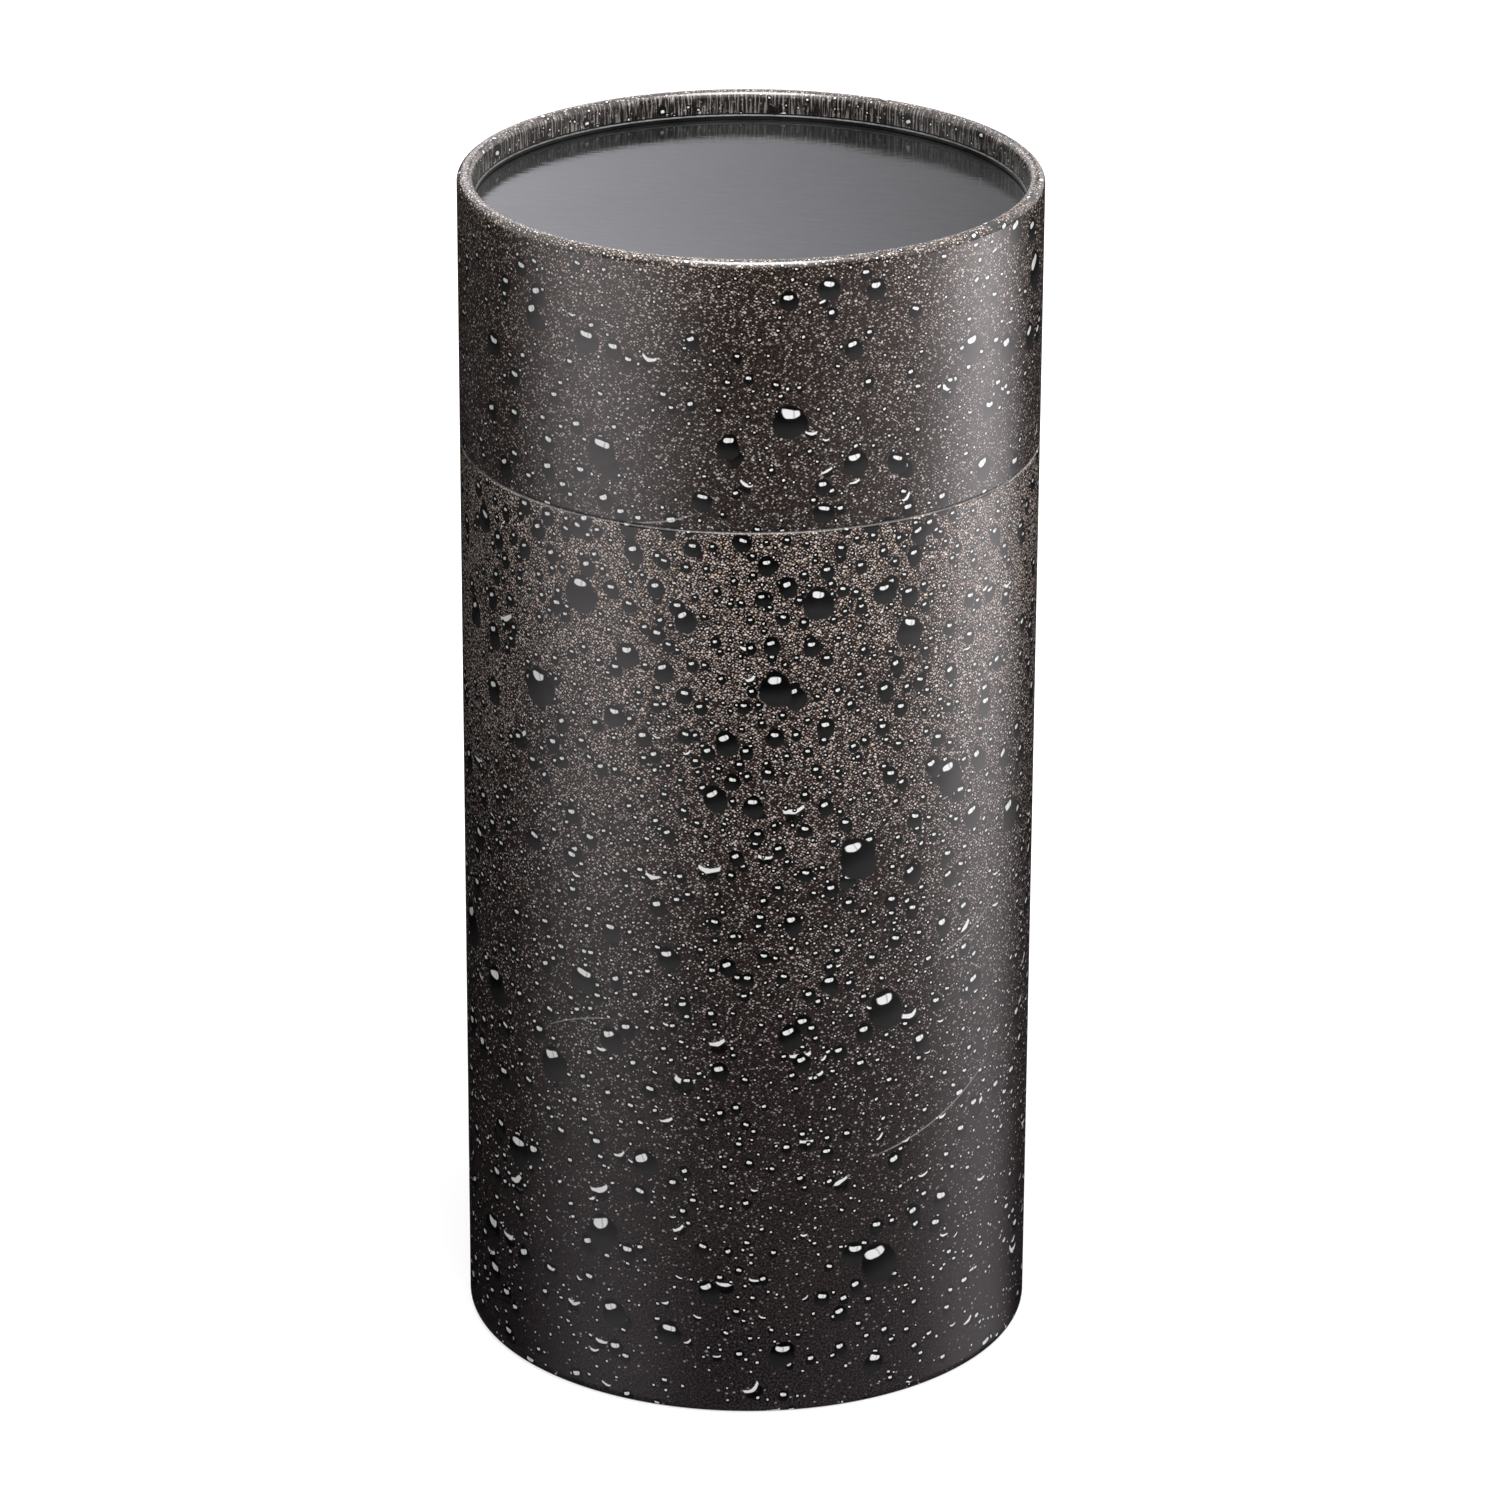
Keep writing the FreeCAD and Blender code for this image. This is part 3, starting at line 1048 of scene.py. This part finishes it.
# %% [markdown]
# ## The studio
#
# The tube stands on a plain pale floor in front of a white background, with lamps and cards around
# it. All of these but the lamps are flat sheets, lying or upright, so they share a few helpers.

# %% Sheets of the studio
def stage_finish(name, **constants):
    """A dull material for the studio."""
    return new_finish(name, Roughness=1.0, Specular_IOR_Level=0.0, **constants)


def stage_sheet(name, corners, finish):
    """A flat four-sided sheet for the studio."""
    mesh = bpy.data.meshes.new(name)
    mesh.from_pydata(corners, [], [tuple(range(len(corners)))])
    mesh.materials.append(finish)
    sheet = placed(name, mesh)
    return sheet


def level_corners(left, right, front, back, height):
    """The corners of a lying rectangle."""
    return [(left, front, height), (right, front, height),
            (right, back, height), (left, back, height)]


def upright_corners(left, right, low, high, depth):
    """The corners of a rectangle that stands across the camera's view."""
    return [(left, depth, low), (right, depth, low), (right, depth, high), (left, depth, high)]


# %% [markdown]
# The camera sees the floor as white, with the tube's shadow on it. The floor could be a brightly
# lit white sheet, but that would throw too much light up at the tube. So it is a middle grey that
# glows white only where it is seen straight, in a mirror or through glass, and a little less near
# the foot.

# %% Floor
def seen_directly(start):
    """1 for what the camera sees, straight or in a mirror or through glass."""
    rays = start.node("ShaderNodeLightPath", None, None, "Is Camera Ray")
    seen = rays + rays.out("Is Glossy Ray") + rays.out("Is Transmission Ray")
    return start.maths("MINIMUM", seen, 1.0)


floor_reach = 6.0
floor_level = -0.05 * MM
near_glow = 0.70
floor_finish, floor_shader, floor_start = stage_finish(
    "floor_finish", Base_Color=grey(0.34), Emission_Strength=1.0)
floor_place = floor_start.node("ShaderNodeTexCoord", None, None, "Object")
away = floor_start.node("ShaderNodeVectorMath", {"operation": "LENGTH"}, {0: floor_place}, "Value")
glow = seen_directly(floor_start) * (smooth(away, 0.08, 0.45) * (1 - near_glow) + near_glow)
feed(floor_shader, Emission_Color=tint(glow, grey(0.0), grey(1.0)))
floor_corners = level_corners(-floor_reach, floor_reach, -floor_reach, floor_reach, floor_level)
stage_sheet("floor", floor_corners, floor_finish)
print("floor %.0f m wide" % (2 * floor_reach))

# %% [markdown]
# The background is white in the same way, and lights the tube only as much as a dim room would, so
# that the lamps can shape it. The plain view keeps colours as they are written.

# %% Backdrop
bpy.context.scene.view_settings.view_transform = "Standard"
room_light = 0.10
world = bpy.data.worlds.new("studio")
bpy.context.scene.world = world
world.use_nodes = True
backdrop = world.node_tree.nodes["Background"]
backdrop.inputs["Strength"].default_value = 1.0
background = tint(seen_directly(Ink(backdrop.outputs[0])), grey(room_light), grey(1.0))
feed(backdrop, Color=background)
print("room light %.2f" % room_light)

# %% [markdown]
# A dark satin object shows the room in its sheen, so what stands around it matters as much as the
# lamps. The white floor and background would veil the dark print with their reflection, so dark
# cards that only reflections see lie around the foot and stand in front and at the left, as a
# photographer would set them.

# %% Dark cards
card_reach = 2.5
left_card_x = -0.36
card_finish, _, _ = stage_finish("card_finish", Base_Color=grey(0.03))


def only_mirrored(card):
    """Let a card show in reflections and nowhere else."""
    for ray in ("camera", "diffuse", "transmission", "shadow"):
        setattr(card, "visible_" + ray, False)


dark_cards = {
    "floor_card": level_corners(-card_reach, card_reach, -card_reach, card_reach, 0.4 * MM),
    "front_card": upright_corners(-card_reach, card_reach, 0.0, 2.0, -1.4),
    "left_card": [(left_card_x, 0.12, 0.0), (left_card_x, 2.0, 0.0),
                  (left_card_x, 2.0, 0.42), (left_card_x, 0.12, 0.42)],
}
for name, corners in dark_cards.items():
    only_mirrored(stage_sheet(name, corners, card_finish))
    print(name, "is dark")

# %% [markdown]
# The camera looks down, so an upright wall mirrors what lies on the floor beside it. A soft glowing
# card lying there draws the long sheens down the tube: a faint one at the left and a strong one at
# the right. Each point of the card is where the sight line to one point of the wall lands after it
# is mirrored, so the sheens can be written by the wall's own angle and height.

# %% Points of the sheen card
card_turns = 60
card_levels = 14
sheen_span = math.radians(88.0)
sheen_top = 1.2
sheen_lift = 0.8 * MM
map_degrees = 100.0
card_points = []
card_map = []
for step in range(card_turns + 1):
    angle = sheen_span * (2 * step / card_turns - 1)
    outward = Vector((math.sin(angle), -math.cos(angle), 0.0))
    for level_step in range(card_levels + 1):
        share = sheen_top * level_step / card_levels
        wall_point = outward * outer_radius + Vector((0.0, 0.0, max(share * rim_level, MM)))
        sight = (wall_point - camera.location).normalized()
        mirrored = sight - outward * (2 * sight.dot(outward))
        landing = wall_point - mirrored * (wall_point.z / mirrored.z)
        card_points.append((landing.x, landing.y, sheen_lift))
        card_map.append((math.degrees(angle) / map_degrees, share))
card_faces = []
for step in range(card_turns):
    for level_step in range(card_levels):
        corner = step * (card_levels + 1) + level_step
        card_faces.append((corner, corner + card_levels + 1, corner + card_levels + 2, corner + 1))
print("sheen card", len(card_points), "points")

# %% [markdown]
# The card carries the angle around the wall and the share of its height as a map, and glows by
# them. Both sheens are brighter higher up, and the right one ends in a soft slanted edge. Two plain
# lamps could do this only roughly, because their edges would run straight.

# %% Light of the sheen card
def toned(level, red, green, blue):
    """A colour as bright as level, with this much of each part."""
    return level.node("ShaderNodeCombineColor", None, {
        "Red": level * red, "Green": level * green, "Blue": level * blue})


sheen, sheen_shader, sheen_start = stage_finish(
    "sheen_card", Base_Color=grey(0.0), Emission_Strength=1.0)
sheen_place = sheen_start.node("ShaderNodeUVMap", {"uv_map": "wall"})
degrees = part_of(sheen_place, "X") * map_degrees
wall_share = part_of(sheen_place, "Y")
left_sheen = smooth(degrees, -55.0, -30.0) * smooth(degrees, -4.0, -28.0)
edge = degrees + (wall_share - 0.45) * 6.0
right_sheen = (smooth(degrees, 31.0, 50.5) * smooth(edge, 70.4, 52.0) * 0.80
               + smooth(degrees, 2.0, 40.0) * smooth(edge, 73.0, 53.0) * 0.20)
sheen_level = (left_sheen * (wall_share ** 2.4 * 1.15 + 0.22)
               + right_sheen * (wall_share ** 2.0 * 2.62 + 0.41))
feed(sheen_shader, Emission_Color=toned(sheen_level, 1.04, 0.98, 1.01))
print(sheen.name, "has", len(sheen.node_tree.nodes), "nodes")

# %% [markdown]
# The points become a mesh, and each corner of a face takes the map of its point.

# %% Mesh of the sheen card
card_mesh = bpy.data.meshes.new("sheen_card")
card_mesh.from_pydata(card_points, [], card_faces)
card_layer = card_mesh.uv_layers.new(name="wall")
loop_points = np.zeros(len(card_mesh.loops), np.int32)
card_mesh.loops.foreach_get("vertex_index", loop_points)
card_layer.uv.foreach_set("vector", np.array(card_map, np.float32)[loop_points].ravel())
card_mesh.materials.append(sheen)
sheen_card = placed("sheen_card", card_mesh)
only_mirrored(sheen_card)
print("sheen card", len(card_faces), "faces")

# %% [markdown]
# The panel in the lid mirrors what stands behind the tube. A graded card there, bright at the left
# and dim at the right, gives it the soft shading that a single white wall can't.

# %% Graded card
graded, graded_shader, graded_start = stage_finish(
    "graded_card", Base_Color=grey(0.0), Emission_Strength=1.0)
graded_place = graded_start.node("ShaderNodeTexCoord", None, None, "Object")
graded_x = part_of(graded_place, "X")
brightness = (0.99 - graded_x * 5.0) * ((graded_x.out("Z") - 0.585) * 3.5 + 1.0)
feed(graded_shader, Emission_Color=toned(brightness, 0.985, 0.985, 1.06))
only_mirrored(stage_sheet("back_card", upright_corners(-0.22, 0.22, 0.42, 0.80, 1.0), graded))
print("back_card is graded")

# %% [markdown]
# The folded edges at the rim, the hem and the seam are thin and round, and mirror what hangs above
# them. A bright card overhead, which only reflections see, draws a fine line along each. A dim one
# hangs high in front, so that the panel has something soft to mirror when it is seen from behind.

# %% Bright cards
bright_cards = {
    "overhead_card": (level_corners(-0.26, 0.31, -0.60, 0.15, 1.29), 13.0),
    "dim_card": (upright_corners(-0.60, 0.60, 0.60, 1.50, -1.0), 1.3),
}
for name, (corners, strength) in bright_cards.items():
    card_glow, _, _ = stage_finish(name, Base_Color=grey(0.0), Emission_Color=grey(1.0),
                                   Emission_Strength=strength)
    only_mirrored(stage_sheet(name, corners, card_glow))
    print(name, "glows with strength", strength)

# %% [markdown]
# Soft boxes above, in front, at both sides and behind light the print evenly. They stay out of the
# reflections, which the cards are set for. Their brightness is given as radiance, which is light
# for each part of their area, so that a lamp that is made larger or smaller keeps its glow.

# %% Soft boxes
middle = (0.0, 0.0, 0.15)
# name, place, the point it faces, width and height in metres, radiance
soft_boxes = (
    ("top_box", (0.08, -0.10, 1.30), (0.0, -0.10, 0.27), 0.50, 1.00, 9.0),
    ("key_box", (0.20, -0.85, 1.10), middle, 0.90, 0.70, 7.0),
    ("right_box", (0.70, -0.19, 0.40), middle, 0.50, 0.60, 2.0),
    ("left_box", (-0.42, -0.90, 0.40), middle, 0.50, 0.60, 0.5),
    ("back_box", (-0.25, 0.95, 0.75), middle, 0.70, 0.70, 4.0),
)
for name, place, target, wide, tall, radiance in soft_boxes:
    lamp = bpy.data.lights.new(name, "AREA")
    lamp.shape = "RECTANGLE"
    lamp.size, lamp.size_y = wide, tall
    lamp.energy = radiance * wide * tall * math.pi
    box = placed(name, lamp)
    box.location = place
    box.rotation_mode = "QUATERNION"
    box.rotation_quaternion = (Vector(target) - Vector(place)).to_track_quat("-Z", "Y")
    box.visible_camera = False
    box.visible_glossy = False
    print(name, "%.2f W" % lamp.energy)
